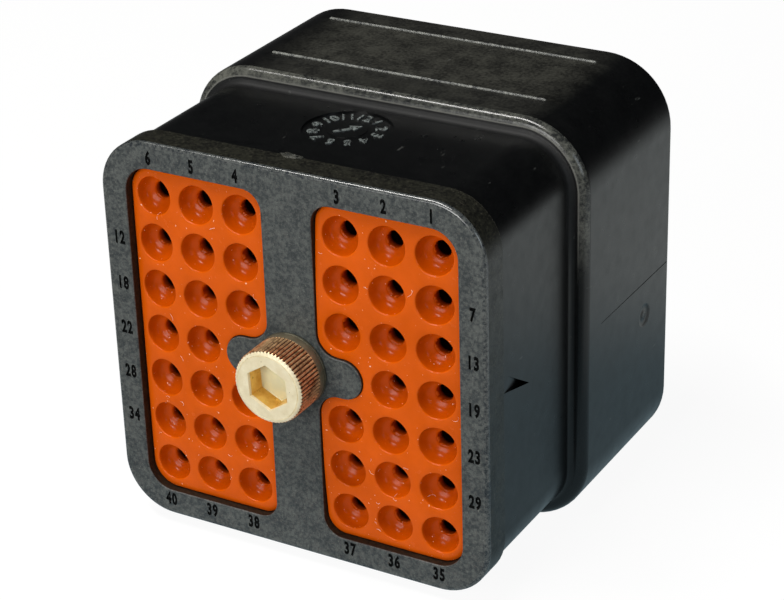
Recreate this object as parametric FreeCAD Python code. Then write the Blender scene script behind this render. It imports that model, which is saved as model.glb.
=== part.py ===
import FreeCAD, Part
import math
import os

# Sealed rectangular plug with forty wire cavities and a captive jackscrew.
# Millimetres. X runs across the wire face, Y from the wire end to the mating end, Z up.
# Shapes are drawn about the jackscrew axis, with the rubber face at Y 0, and moved at the end so
# that the origin is under the middle of the part.

# Cavity grid
PITCH = 4.8
INNER_COLUMN = 5.39
COLUMNS_PER_SIDE = 3
ROWS_ABOVE_CENTRE = 3

# Room round the grid, counted from the middle of the nearest cavity
COLUMN_TO_SIDE = 5.14
ROW_TO_TOP = 5.28
WINDOW_ROOM = 2.72
WINDOW_TOP_ROOM = 2.94
BAR_ROOM = 2.8
NOSE_ROOM = 2.05

# Outside of the shell
BODY_CORNER = 5.04
BODY_LENGTH = 14.3
SKIRT_RISE = 1.67
SKIRT_CORNER = 6.93
STEP_FOOT_RADIUS = 0.56
STEP_LIP_RADIUS = 0.97
STEP_FLAT = 0.03
SHELL_END_RADIUS = 0.75

# Inside of the shell
MOUTH_WALL = 1.4
SKIRT_WALL = 1.9
SHOULDER_THICKNESS = 2.2
MATING_DEPTH = 4.84

# Polarising keys inside the skirt
KEY_HEIGHT = 1.2
KEY_SETBACK = 1.6
TOP_KEY_WIDTH = 5.2
SIDE_KEY_WIDTH = 3.0
SIDE_KEY_RISE = 6.4
BOTTOM_KEY_WIDTH = 3.0
BOTTOM_KEY_OFFSET = 9.6

# Marks moulded on the shell
STAMP_RADIUS = 4.35
STAMP_OFFSET = -0.3
STAMP_TO_STEP = 5.7
STAMP_DEPTH = 0.2
RIB_HALF_LENGTH = 15.2
RIB_HALF_WIDTH = 0.17
FRONT_RIB_FROM_STEP = 4.9
REAR_RIB_FROM_END = 3.84
DIMPLE_RADIUS = 1.25
DIMPLE_DEPTH = 0.22
DIMPLE_DROP = 3.7
DIMPLE_FROM_END = 6.1
NUB_RADIUS = 0.45
NOTCH_FRONT_FROM_MOUTH = 0.5
NOTCH_LENGTH = 5.2
NOTCH_TOP = 1.8
NOTCH_FRONT_DROP = 1.5
NOTCH_TIP_DROP = 2.8
NOTCH_DEPTH = 1.0

# Grommet retainer
RETAINER_OVERHANG = 0.37
RETAINER_CORNER = 5.4
RETAINER_PLATE = 3.35
RETAINER_PROUD = 0.65
RETAINER_EDGE = 0.4
SPIGOT_LENGTH = 2.5
SPIGOT_WALL = 0.8
WINDOW_OUTER_CORNER = 2.7
WINDOW_INNER_CORNER = 2.0
BAR_ROOT_RADIUS = 2.2

# Wire grommet
GROMMET_BODY = 6.0
FUNNEL_RADIUS = 1.93
FUNNEL_DEPTH = 1.3
WIRE_BORE_RADIUS = 0.85

# Inserts
RETENTION_LENGTH = 10.0
POCKET_HALF_WIDTH = 1.45
FINGER_WIDTH = 1.7
FINGER_LENGTH = 4.0
FINGER_RISE = 0.4
FINGER_SETBACK = 2.5
BOSS_RADIUS = 3.6
SOCKET_FLANGE = 2.0
NOSE_LENGTH = 8.8
NOSE_CORNER = 3.0
NOSE_EDGE = 0.5
SOCKET_BORE_RADIUS = 0.95
WELL_RADIUS = 3.9
WELL_FLOOR = 1.6

# Perimeter seal
SEAL_BASE = 1.1
SEAL_RIB_WIDTH = 0.6
SEAL_RIB_HEIGHT = 0.9

# Jackscrew and the pieces on it
HEAD_RADIUS = 3.65
HEAD_LENGTH = 4.1
HEAD_CHAMFER = 0.2
HEAD_COLLAR = 0.6
KNURL_TEETH = 60
KNURL_DEPTH = 0.16
HEX_ACROSS_FLATS = 4.0
HEX_DEPTH = 2.1
HEX_TURN = 3.0
SHANK_RADIUS = 2.4
SCREW_FLOAT = 0.9
TIP_SETBACK = 0.3
TIP_CHAMFER = 0.5
HEAD_WASHER_RADIUS = 3.8
HEAD_WASHER_THICKNESS = 0.35
CLIP_WASHER_RADIUS = 3.6
CLIP_WASHER_THICKNESS = 0.5
CLIP_RADIUS = 3.4
CLIP_THICKNESS = 0.6
CLIP_BAND = 0.75
CLIP_LUG_WIDTH = 1.5
CLIP_GROOVE_RADIUS = 1.6
RING_GROOVE_RADIUS = 1.8
RING_GROOVE_WIDTH = 1.1
RING_GROOVE_FROM_SEAM = 2.0

# Clearances
PAD_CLEARANCE = 0.12
SPIGOT_CLEARANCE = 0.1
INSERT_CLEARANCE = 0.1
SEAL_CLEARANCE = 0.05
SHANK_CLEARANCE = 0.1
RING_CLEARANCE = 0.03
OVERSHOOT = 1.0

# Places along the plug, counted from the rubber face
RETAINER_FACE = -RETAINER_PROUD
SEAM = RETAINER_FACE + RETAINER_PLATE
STEP = SEAM + BODY_LENGTH
SPIGOT_END = SEAM + SPIGOT_LENGTH
GROMMET_END = SPIGOT_END + GROMMET_BODY
RETENTION_END = GROMMET_END + RETENTION_LENGTH
FLANGE_END = RETENTION_END + SOCKET_FLANGE
SHOULDER_END = FLANGE_END + SHOULDER_THICKNESS
INSERT_FACE = FLANGE_END + NOSE_LENGTH
SHELL_END = INSERT_FACE + MATING_DEPTH
HEAD_BASE = RETAINER_FACE - HEAD_WASHER_THICKNESS
HEAD_FACE = HEAD_BASE - HEAD_LENGTH
WELL_BOTTOM = RETENTION_END + WELL_FLOOR
CLIP_WASHER_END = WELL_BOTTOM + CLIP_WASHER_THICKNESS
CLIP_START = CLIP_WASHER_END + SCREW_FLOAT
CLIP_END = CLIP_START + CLIP_THICKNESS
SCREW_TIP = INSERT_FACE - TIP_SETBACK

# Half sizes that follow the grid
OUTER_COLUMN = INNER_COLUMN + (COLUMNS_PER_SIDE - 1) * PITCH
OUTER_ROW = ROWS_ABOVE_CENTRE * PITCH
BODY_HALF_WIDTH = OUTER_COLUMN + COLUMN_TO_SIDE
BODY_HALF_HEIGHT = OUTER_ROW + ROW_TO_TOP
SKIRT_HALF_WIDTH = BODY_HALF_WIDTH + SKIRT_RISE
SKIRT_HALF_HEIGHT = BODY_HALF_HEIGHT + SKIRT_RISE
SHANK_BORE = SHANK_RADIUS + SHANK_CLEARANCE

# The step's face is narrowest across the corners, and its two fillets share that room
STEP_ROOM = SKIRT_RISE - (SKIRT_CORNER - BODY_CORNER - SKIRT_RISE) * (math.sqrt(2) - 1)


def outline(half_width, half_height, corner, inset=0.0):
    """A rounded rectangle, drawn in from the given one by the inset."""
    return (half_width - inset, half_height - inset, max(corner - inset, 0.2))


# Shapes shared by pieces that fit together, each as (half width, half height, corner radius)
BODY = outline(BODY_HALF_WIDTH, BODY_HALF_HEIGHT, BODY_CORNER)
SKIRT = outline(SKIRT_HALF_WIDTH, SKIRT_HALF_HEIGHT, SKIRT_CORNER)
CAVITY = outline(*BODY, inset=MOUTH_WALL)
SKIRT_CAVITY = outline(*SKIRT, inset=SKIRT_WALL)
INSERT = outline(*CAVITY, inset=INSERT_CLEARANCE)
SPIGOT = outline(*CAVITY, inset=SPIGOT_CLEARANCE)
SPIGOT_HOLE = outline(*SPIGOT, inset=SPIGOT_WALL)
NOSE = (OUTER_COLUMN + NOSE_ROOM, OUTER_ROW + NOSE_ROOM, NOSE_CORNER)
RETAINER = (BODY_HALF_WIDTH + RETAINER_OVERHANG, BODY_HALF_HEIGHT + RETAINER_OVERHANG, RETAINER_CORNER)


def prism(shape, start, end):
    """A rounded rectangle drawn along Y from start to end."""
    half_width, half_height, corner = shape
    block = Part.makeBox(2 * half_width, end - start, 2 * half_height,
                         FreeCAD.Vector(-half_width, start, -half_height))
    upright = [edge for edge in block.Edges if edge.BoundBox.YLength > (end - start) / 2]
    return block.makeFillet(corner, upright)


def frame(outer, inner, start, end):
    """A rounded-rectangle tube."""
    return prism(outer, start, end).cut(prism(inner, start - OVERSHOOT, end + OVERSHOOT))


def rod(radius, start, end, x=0.0, z=0.0):
    """A round rod along Y."""
    return Part.makeCylinder(radius, end - start, FreeCAD.Vector(x, start, z), FreeCAD.Vector(0, 1, 0))


def cone(radius_start, radius_end, start, end, x=0.0, z=0.0):
    """A taper along Y."""
    return Part.makeCone(radius_start, radius_end, end - start,
                         FreeCAD.Vector(x, start, z), FreeCAD.Vector(0, 1, 0))


def cavity_centres():
    """The forty places in the grid. The two beside the jackscrew are left out."""
    centres = []
    for row in range(-ROWS_ABOVE_CENTRE, ROWS_ABOVE_CENTRE + 1):
        for column in range(COLUMNS_PER_SIDE):
            if row == 0 and column == 0:
                continue
            for side in (-1, 1):
                centres.append((side * (INNER_COLUMN + column * PITCH), row * PITCH))
    return centres


def distance_from_outline(x, z, shape):
    """How far a point of the XZ plane lies from a rounded rectangle."""
    half_width, half_height, corner = shape
    across = abs(x) - (half_width - corner)
    up = abs(z) - (half_height - corner)
    outside = math.hypot(max(across, 0.0), max(up, 0.0))
    return abs(outside + min(max(across, up), 0.0) - corner)


def edges_at(solid, depth, shape):
    """The edges that follow a rounded rectangle at one depth."""
    found = []
    for edge in solid.Edges:
        middle = edge.valueAt((edge.FirstParameter + edge.LastParameter) / 2)
        flat = edge.BoundBox.YLength < 0.001 and abs(middle.y - depth) < 0.001
        if flat and distance_from_outline(middle.x, middle.z, shape) < 0.001:
            found.append(edge)
    return found


def edges_along(solid, x, half_height):
    """The edges along Y at one X, at plus and minus one height."""
    return [edge for edge in solid.Edges
            if edge.BoundBox.XLength < 0.001 and edge.BoundBox.ZLength < 0.001
            and abs(edge.BoundBox.Center.x - x) < 0.001
            and abs(abs(edge.BoundBox.Center.z) - half_height) < 0.001]


def window(side, inset, start, end):
    """One of the two window shapes round the cavities, drawn in by the inset."""
    near = side * (INNER_COLUMN - WINDOW_ROOM + inset)
    far = side * (OUTER_COLUMN + WINDOW_ROOM - inset)
    half_height = OUTER_ROW + WINDOW_TOP_ROOM - inset
    solid = Part.makeBox(abs(far - near), end - start, 2 * half_height,
                         FreeCAD.Vector(min(near, far), start, -half_height))
    solid = solid.makeFillet(WINDOW_OUTER_CORNER - inset, edges_along(solid, far, half_height))
    solid = solid.makeFillet(WINDOW_INNER_CORNER - inset, edges_along(solid, near, half_height))
    bar_half_height = PITCH - BAR_ROOM + inset
    bar = Part.makeBox(2 * INNER_COLUMN, end - start, 2 * bar_half_height,
                       FreeCAD.Vector(-INNER_COLUMN, start, -bar_half_height))
    bar = bar.fuse(rod(bar_half_height, start, end, side * INNER_COLUMN))
    solid = solid.cut(bar).removeSplitter()
    return solid.makeFillet(BAR_ROOT_RADIUS - inset, edges_along(solid, near, bar_half_height))


def key(centre_x, centre_z, half_x, half_z):
    """A key rib inside the skirt, with its long side along Y."""
    start = SHOULDER_END + SEAL_BASE + SEAL_RIB_HEIGHT + SEAL_CLEARANCE
    end = SHELL_END - KEY_SETBACK
    return Part.makeBox(2 * half_x, end - start, 2 * half_z,
                        FreeCAD.Vector(centre_x - half_x, start, centre_z - half_z))


def polarising_keys():
    """Ribs rooted in the skirt's walls, which let the plug mate one way only."""
    half_reach = (KEY_HEIGHT + SKIRT_WALL / 2) / 2
    beside = SKIRT_CAVITY[0] - KEY_HEIGHT + half_reach
    above = SKIRT_CAVITY[1] - KEY_HEIGHT + half_reach
    keys = [key(0.0, above, TOP_KEY_WIDTH / 2, half_reach),
            key(beside, SIDE_KEY_RISE, half_reach, SIDE_KEY_WIDTH / 2)]
    for side in (-1, 1):
        keys.append(key(side * BOTTOM_KEY_OFFSET, -above, BOTTOM_KEY_WIDTH / 2, half_reach))
    return keys


def date_stamp(solid):
    """A round date dial's recess in the top of the body."""
    floor = FreeCAD.Vector(STAMP_OFFSET, STEP - STAMP_TO_STEP, BODY_HALF_HEIGHT - STAMP_DEPTH)
    return solid.cut(Part.makeCylinder(STAMP_RADIUS, STAMP_DEPTH + OVERSHOOT, floor,
                                       FreeCAD.Vector(0, 0, 1)))


def ridge(half_width, half_length, depth, top):
    """A fine line along X with a pointed section, half sunk in the face under it."""
    section = [FreeCAD.Vector(-half_length, depth - half_width, top),
               FreeCAD.Vector(-half_length, depth, top + half_width),
               FreeCAD.Vector(-half_length, depth + half_width, top),
               FreeCAD.Vector(-half_length, depth, top - half_width)]
    face = Part.Face(Part.makePolygon(section + section[:1]))
    return face.extrude(FreeCAD.Vector(2 * half_length, 0, 0))


def panel_ribs():
    """Two fine raised lines across the top of the skirt."""
    ribs = []
    for depth in (STEP + FRONT_RIB_FROM_STEP, SHELL_END - REAR_RIB_FROM_END):
        ribs.append(ridge(RIB_HALF_WIDTH, RIB_HALF_LENGTH, depth, SKIRT_HALF_HEIGHT))
    return ribs


def gate_dimple(solid):
    """A shallow round dimple on the right of the skirt, with the gate's nub in it."""
    inward = FreeCAD.Vector(-1, 0, 0)
    mouth = FreeCAD.Vector(SKIRT_HALF_WIDTH, SHELL_END - DIMPLE_FROM_END, -DIMPLE_DROP)
    floor = mouth + inward * DIMPLE_DEPTH
    solid = solid.cut(Part.makeCone(DIMPLE_RADIUS, DIMPLE_RADIUS * 0.8, DIMPLE_DEPTH, mouth, inward))
    nub = Part.makeCylinder(NUB_RADIUS, 2 * DIMPLE_DEPTH, floor + inward * DIMPLE_DEPTH, inward * -1)
    return solid.fuse(nub)


def latch_notch(solid):
    """A three-cornered notch on the right of the body. Its floor runs down towards the tip."""
    front = SEAM + NOTCH_FRONT_FROM_MOUTH
    wall = BODY_HALF_WIDTH
    low = FreeCAD.Vector(wall, front, NOTCH_TOP - NOTCH_FRONT_DROP)
    high = FreeCAD.Vector(wall, front + NOTCH_FRONT_DROP / 2, NOTCH_TOP)
    tip = FreeCAD.Vector(wall, front + NOTCH_LENGTH, NOTCH_TOP - NOTCH_TIP_DROP)
    deep = tip + FreeCAD.Vector(-NOTCH_DEPTH, 0, 0)
    faces = [Part.Face(Part.makePolygon([a, b, c, a]))
             for a, b, c in ((low, high, tip), (low, high, deep), (high, tip, deep), (tip, low, deep))]
    return solid.cut(Part.makeSolid(Part.makeShell(faces)))


def plug_shell():
    """One moulding: the body, the wider skirt round the mating face and the shoulder inside."""
    solid = prism(BODY, SEAM, STEP + OVERSHOOT).fuse(prism(SKIRT, STEP, SHELL_END)).removeSplitter()
    foot = min(STEP_FOOT_RADIUS, 0.6 * STEP_ROOM)
    lip = min(STEP_LIP_RADIUS, STEP_ROOM - foot - STEP_FLAT)
    solid = solid.makeFillet(foot, edges_at(solid, STEP, BODY))
    solid = solid.makeFillet(lip, edges_at(solid, STEP, SKIRT))
    solid = solid.makeFillet(SHELL_END_RADIUS, edges_at(solid, SHELL_END, SKIRT))
    solid = solid.fuse(panel_ribs())
    solid = date_stamp(solid)
    solid = gate_dimple(solid)
    solid = latch_notch(solid)
    solid = solid.cut(prism(CAVITY, SEAM - OVERSHOOT, FLANGE_END))
    solid = solid.cut(prism(outline(*NOSE, inset=-INSERT_CLEARANCE), FLANGE_END - OVERSHOOT,
                            SHOULDER_END + OVERSHOOT))
    solid = solid.cut(prism(SKIRT_CAVITY, SHOULDER_END, SHELL_END + OVERSHOOT))
    return solid.fuse(polarising_keys()).removeSplitter()


def grommet_retainer():
    """The cap on the wire end: a plate with two windows, and a spigot inside the shell's mouth."""
    plate = prism(RETAINER, RETAINER_FACE, SEAM)
    plate = plate.makeFillet(RETAINER_EDGE, edges_at(plate, RETAINER_FACE, RETAINER))
    for side in (-1, 1):
        plate = plate.cut(window(side, 0.0, RETAINER_FACE - OVERSHOOT, SEAM + OVERSHOOT))
    plate = plate.fuse(frame(SPIGOT, SPIGOT_HOLE, SEAM, SPIGOT_END))
    return plate.cut(rod(SHANK_BORE, RETAINER_FACE - OVERSHOOT, SEAM + OVERSHOOT)).removeSplitter()


def wire_grommet():
    """The rubber block that seals each wire: two pads in the windows on one thick slab."""
    slab = prism(INSERT, SPIGOT_END, GROMMET_END)
    neck = prism(outline(*SPIGOT_HOLE, inset=SPIGOT_CLEARANCE), SEAM, SPIGOT_END)
    solid = slab.fuse(neck)
    for side in (-1, 1):
        solid = solid.fuse(window(side, PAD_CLEARANCE, 0.0, SEAM))
    bores = [rod(BOSS_RADIUS + SEAL_CLEARANCE, SEAM - OVERSHOOT, GROMMET_END + OVERSHOOT)]
    for x, z in cavity_centres():
        bores.append(rod(FUNNEL_RADIUS, -OVERSHOOT, FUNNEL_DEPTH, x, z))
        bores.append(rod(WIRE_BORE_RADIUS, 0.0, GROMMET_END + OVERSHOOT, x, z))
    return solid.cut(bores).removeSplitter()


def pocket(x, z, start, end):
    """A square pocket along Y, for a contact's body."""
    return Part.makeBox(2 * POCKET_HALF_WIDTH, end - start, 2 * POCKET_HALF_WIDTH,
                        FreeCAD.Vector(x - POCKET_HALF_WIDTH, start, z - POCKET_HALF_WIDTH))


def locking_finger(x, z):
    """A wedge under a pocket's roof. A contact snaps past it and can't come back."""
    roof = z + POCKET_HALF_WIDTH
    end = RETENTION_END - FINGER_SETBACK
    left = x - FINGER_WIDTH / 2
    section = [FreeCAD.Vector(left, end - FINGER_LENGTH, roof),
               FreeCAD.Vector(left, end, roof - FINGER_RISE),
               FreeCAD.Vector(left, end, roof)]
    return Part.Face(Part.makePolygon(section + section[:1])).extrude(FreeCAD.Vector(FINGER_WIDTH, 0, 0))


def contact_retention_insert():
    """The hard block behind the grommet, with a boss that carries the retainer's middle."""
    solid = prism(INSERT, GROMMET_END, RETENTION_END).fuse(rod(BOSS_RADIUS, SEAM, GROMMET_END))
    bores = [rod(SHANK_BORE, SEAM - OVERSHOOT, RETENTION_END + OVERSHOOT)]
    fingers = []
    for x, z in cavity_centres():
        bores.append(pocket(x, z, GROMMET_END - OVERSHOOT, RETENTION_END + OVERSHOOT))
        fingers.append(locking_finger(x, z))
    return solid.cut(bores).fuse(fingers).removeSplitter()


def socket_insert():
    """The hard block at the mating end: a flange behind the shell's shoulder and a nose.

    A contact's body stops on its back, and the contact's socket stands in the bore.
    """
    nose = prism(NOSE, FLANGE_END, INSERT_FACE)
    nose = nose.makeChamfer(NOSE_EDGE, edges_at(nose, INSERT_FACE, NOSE))
    solid = prism(INSERT, RETENTION_END, FLANGE_END).fuse(nose)
    bores = [rod(SHANK_BORE, RETENTION_END - OVERSHOOT, WELL_BOTTOM + OVERSHOOT)]
    bores.append(rod(WELL_RADIUS, WELL_BOTTOM, INSERT_FACE + OVERSHOOT))
    for x, z in cavity_centres():
        bores.append(rod(SOCKET_BORE_RADIUS, RETENTION_END - OVERSHOOT, INSERT_FACE + OVERSHOOT, x, z))
    return solid.cut(bores).removeSplitter()


def perimeter_seal():
    """The rubber ring on the floor of the trench, with two ribs that the mating shell squeezes."""
    inner = outline(*NOSE, inset=-SEAL_CLEARANCE)
    outer = outline(*SKIRT_CAVITY, inset=SEAL_CLEARANCE)
    base_end = SHOULDER_END + SEAL_BASE
    solid = frame(outer, inner, SHOULDER_END, base_end)
    spare = min(outer[0] - inner[0], outer[1] - inner[1]) - 2 * SEAL_RIB_WIDTH
    for step_in in (spare / 3, 2 * spare / 3 + SEAL_RIB_WIDTH):
        rib_outer = outline(*outer, inset=step_in)
        rib_inner = outline(*outer, inset=step_in + SEAL_RIB_WIDTH)
        solid = solid.fuse(frame(rib_outer, rib_inner, base_end, base_end + SEAL_RIB_HEIGHT))
    return solid.removeSplitter()


def knurled_ring():
    """The head's outside: straight teeth all round, as one star-shaped prism."""
    points = []
    for index in range(2 * KNURL_TEETH):
        radius = HEAD_RADIUS if index % 2 == 0 else HEAD_RADIUS - KNURL_DEPTH
        turn = math.pi * index / KNURL_TEETH
        points.append(FreeCAD.Vector(radius * math.cos(turn), HEAD_FACE, radius * math.sin(turn)))
    star = Part.Face(Part.makePolygon(points + points[:1]))
    teeth = star.extrude(FreeCAD.Vector(0, HEAD_LENGTH - HEAD_COLLAR - HEAD_CHAMFER, 0))
    teeth.translate(FreeCAD.Vector(0, HEAD_CHAMFER, 0))
    return teeth.fuse(cone(HEAD_RADIUS - KNURL_DEPTH - HEAD_CHAMFER, HEAD_RADIUS - KNURL_DEPTH,
                           HEAD_FACE, HEAD_FACE + HEAD_CHAMFER))


def hex_socket():
    """The key's socket."""
    reach = HEX_ACROSS_FLATS / math.sqrt(3)
    points = []
    for index in range(7):
        turn = math.radians(90 + HEX_TURN + 60 * index)
        points.append(FreeCAD.Vector(reach * math.cos(turn), HEAD_FACE, reach * math.sin(turn)))
    return Part.Face(Part.makePolygon(points)).extrude(FreeCAD.Vector(0, HEX_DEPTH, 0))


def groove(radius, start, width):
    """A ring cut round the shank."""
    return rod(SHANK_RADIUS + OVERSHOOT, start, start + width).cut(rod(radius, start, start + width))


def jackscrew():
    """The captive screw: knurled head, plain collar, shank with two grooves, and threaded tip."""
    collar = rod(HEAD_RADIUS, HEAD_BASE - HEAD_COLLAR, HEAD_BASE)
    shank = rod(SHANK_RADIUS, HEAD_BASE, SCREW_TIP - TIP_CHAMFER)
    tip = cone(SHANK_RADIUS, SHANK_RADIUS - TIP_CHAMFER, SCREW_TIP - TIP_CHAMFER, SCREW_TIP)
    solid = knurled_ring().fuse([collar, shank, tip])
    cuts = [hex_socket(),
            groove(CLIP_GROOVE_RADIUS, CLIP_START, CLIP_THICKNESS),
            groove(RING_GROOVE_RADIUS, SEAM + RING_GROOVE_FROM_SEAM, RING_GROOVE_WIDTH)]
    return solid.cut(cuts).removeSplitter()


def washer(radius, start, thickness):
    """A flat washer round the shank."""
    end = start + thickness
    return rod(radius, start, end).cut(rod(SHANK_BORE, start - OVERSHOOT, end + OVERSHOOT))


def jackscrew_seal_ring():
    """The square-cut seal ring in the shank's groove."""
    start = SEAM + RING_GROOVE_FROM_SEAM
    end = start + RING_GROOVE_WIDTH
    ring = rod(SHANK_BORE - RING_CLEARANCE, start, end)
    return ring.cut(rod(RING_GROOVE_RADIUS, start - OVERSHOOT, end + OVERSHOOT))


def retaining_clip():
    """An E-shaped clip pushed on to its groove from below, with three lugs on the groove's floor."""
    band = rod(CLIP_RADIUS, CLIP_START, CLIP_END)
    band = band.cut(rod(CLIP_RADIUS - CLIP_BAND, CLIP_START - OVERSHOOT, CLIP_END + OVERSHOOT))
    lug = Part.makeBox(CLIP_LUG_WIDTH, CLIP_THICKNESS, CLIP_RADIUS - CLIP_BAND / 2,
                       FreeCAD.Vector(-CLIP_LUG_WIDTH / 2, CLIP_START, 0))
    for turn in (-90, 0, 90):
        turned = lug.copy()
        turned.rotate(FreeCAD.Vector(0, 0, 0), FreeCAD.Vector(0, 1, 0), turn)
        band = band.fuse(turned)
    opening = Part.makeBox(2 * CLIP_GROOVE_RADIUS, CLIP_THICKNESS, CLIP_RADIUS + OVERSHOOT,
                           FreeCAD.Vector(-CLIP_GROOVE_RADIUS, CLIP_START, -CLIP_RADIUS - OVERSHOOT))
    return band.cut([rod(CLIP_GROOVE_RADIUS, CLIP_START, CLIP_END), opening]).removeSplitter()


def write(name, solid):
    """Stand the piece over the origin and write it."""
    solid = solid.copy()
    solid.translate(FreeCAD.Vector(0, -(HEAD_FACE + SHELL_END) / 2, SKIRT_HALF_HEIGHT))
    solid.exportStep("parts/" + name + ".step")


os.makedirs("parts", exist_ok=True)
write("plug_shell", plug_shell())
write("grommet_retainer", grommet_retainer())
write("wire_grommet", wire_grommet())
write("contact_retention_insert", contact_retention_insert())
write("socket_insert", socket_insert())
write("perimeter_seal", perimeter_seal())
write("jackscrew", jackscrew())
write("head_washer", washer(HEAD_WASHER_RADIUS, HEAD_BASE, HEAD_WASHER_THICKNESS))
write("clip_washer", washer(CLIP_WASHER_RADIUS, WELL_BOTTOM, CLIP_WASHER_THICKNESS))
write("jackscrew_seal_ring", jackscrew_seal_ring())
write("retaining_clip", retaining_clip())
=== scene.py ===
import math
import random

import bmesh
import bpy
from mathutils import Euler, Matrix, Vector, noise
from mathutils.geometry import delaunay_2d_cdt


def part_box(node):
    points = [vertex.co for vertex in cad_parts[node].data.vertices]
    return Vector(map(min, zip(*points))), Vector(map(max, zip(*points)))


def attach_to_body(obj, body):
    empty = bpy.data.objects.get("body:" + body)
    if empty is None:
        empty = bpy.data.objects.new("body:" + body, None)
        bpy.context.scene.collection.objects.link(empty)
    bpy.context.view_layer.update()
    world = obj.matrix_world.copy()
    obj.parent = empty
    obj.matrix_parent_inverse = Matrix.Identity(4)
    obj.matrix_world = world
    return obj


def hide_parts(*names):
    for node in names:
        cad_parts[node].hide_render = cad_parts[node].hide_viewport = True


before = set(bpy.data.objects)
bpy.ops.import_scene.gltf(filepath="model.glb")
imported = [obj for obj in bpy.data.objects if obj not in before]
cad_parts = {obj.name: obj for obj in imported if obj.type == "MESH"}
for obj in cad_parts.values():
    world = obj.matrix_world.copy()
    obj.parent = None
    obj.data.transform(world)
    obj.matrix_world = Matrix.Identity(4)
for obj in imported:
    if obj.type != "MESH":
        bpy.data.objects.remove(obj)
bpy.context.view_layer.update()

# Sealed rectangular plug with forty wire cavities and a captive jackscrew.
# Lengths are in millimetres about the jackscrew's axis, with the rubber face at Y 0, and place() turns
# them into the frame's metres. X runs across the wire face, Y from the wire end to the mating end, Z up.

MM = 0.001
ORIGIN = Vector((0.0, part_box("wire_grommet")[0].y, sum(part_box("jackscrew"), Vector()).z / 2))

# Cavity grid
PITCH = 4.8
INNER_COLUMN = 5.39
COLUMNS_PER_SIDE = 3
ROWS_ABOVE_CENTRE = 3
OUTER_COLUMN = INNER_COLUMN + (COLUMNS_PER_SIDE - 1) * PITCH
OUTER_ROW = ROWS_ABOVE_CENTRE * PITCH

# Half width, half height and corner radius of each rounded rectangle
BODY = (20.13, 19.68, 5.04)
SKIRT = (21.8, 21.35, 6.93)
CAVITY = (18.73, 18.28, 3.64)
SKIRT_CAVITY = (19.9, 19.45, 5.03)
INSERT = (18.63, 18.18, 3.54)
NOSE = (17.04, 16.45, 3.0)
RETAINER = (20.5, 20.05, 5.4)
SPIGOT = (18.63, 18.18, 3.54)
SPIGOT_HOLE = (17.83, 17.38, 2.74)

# Places along the plug
RETAINER_FACE = -0.65
SEAM = 2.7
SPIGOT_END = 5.2
GROMMET_END = 11.2
STEP = 17.0
RETENTION_END = 21.2
FLANGE_END = 23.2
SHOULDER_END = 25.4
INSERT_FACE = 32.0
SHELL_END = 36.84
HEAD_FACE = -5.1
HEAD_BASE = -1.0
SCREW_TIP = 31.7

# Windows round the cavities
WINDOW_ROOM = 2.72
WINDOW_TOP_ROOM = 2.94
BAR_HALF_HEIGHT = 2.0
WINDOW_OUTER_CORNER = 2.7
WINDOW_INNER_CORNER = 2.0
BAR_ROOT_RADIUS = 2.2
PAD_CLEARANCE = 0.06

# Screw. The knurl's tooth is given as six heights, one for each degree round the head.
HEAD_RADIUS = 3.7
HEAD_COLLAR = 0.8
HEX_ACROSS_FLATS = 4.0
HEX_TURN = 3
HEX_DEPTH = 2.1
TOOTH = (0.0, 0.36, 0.8, 1.0, 0.8, 0.36)
TOOTH_DEPTH = 0.17
WASHER_RADIUS = 3.74
THREAD = (25.0, SCREW_TIP)
THREAD_PITCH = 0.8
THREAD_DEPTH = 0.4
SHANK_RADIUS = 2.4
CLIP_GROOVE = (24.2, 24.8, 1.6)
RING_GROOVE = (4.7, 5.8, 1.8)
BOSS_RADIUS = 3.6
WELL_RADIUS = 3.9
WELL_BOTTOM = 22.8
SHANK_BORE = 2.5

# Shell: radii at the step's foot, the step's lip and the skirt's end, then the keys in its mouth
SHELL_ROUNDING = (0.6, 1.0, 0.75)
KEY_SPAN = (SHOULDER_END + 2.05, SHELL_END - 1.6)
KEY_DEPTH = 1.2
KEY_SINK = 0.95
KEY_HALF_WIDTH = 1.5
TOP_KEY_HALF_WIDTH = 2.6
SIDE_KEY_UP = 6.4
LOW_KEY_ACROSS = 9.6

# Marks on the shell. The stamp is given as (x, y) on the top, the dimple as (y, z) on the side.
STAMP = (-0.3, STEP - 5.7)
STAMP_FLOOR = BODY[1] - 0.2
STAMP_RADIUS = 4.35
DIAL_RADIUS = 1.9
MONTH_RING = 3.15
MONTH_SIZE = 1.7
ARROW_WAY = (0.64, 0.77)
ARROW_SHAFT = [(-0.16, -1.4), (0.16, -1.4), (0.16, 0.5), (-0.16, 0.5)]
ARROW_HEAD = [(-0.6, 0.45), (0.6, 0.45), (0.0, 1.5)]
RIDGES = (STEP + 4.9, SHELL_END - 3.84)
RIDGE_HALF_LENGTH = 15.2
RIDGE_RADIUS = 0.17
PARTING_RADIUS = 0.055
DIMPLE = (SHELL_END - 6.1, -3.7)
NOTCH_FRONT = SEAM + 0.5

# Retainer: its rounded edge, the windows' flare, the numbers and the gate's scar
RETAINER_EDGE = 0.4
WINDOW_FLARE = 0.12
NUMBER_SIZE = 1.82
NUMBER_BOLD = 0.085
NUMBER_WIDTH = 0.63
NUMBER_DEPTH = 0.16
NUMBERS_TOP = 18.45
NUMBERS_BOTTOM = -18.35
NUMBERS_LEFT = -18.87
NUMBERS_RIGHT = 19.1
SCAR_PLACE = (-1.0, SEAM - 0.25, RETAINER[1] - 0.02)
SCAR_SIZE = (1.05, 0.42, 0.24)

# Pads
PAD_BULGE = 0.45
PAD_REACH = 15.3
PAD_HALF_HEIGHT = 17.3
PAD_FLAT = 13.0
PAD_GRID = 0.75
EDGE_ROLL = 0.6
EDGE_DROP = 0.26
FIBRE_TRIES = 34

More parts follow.
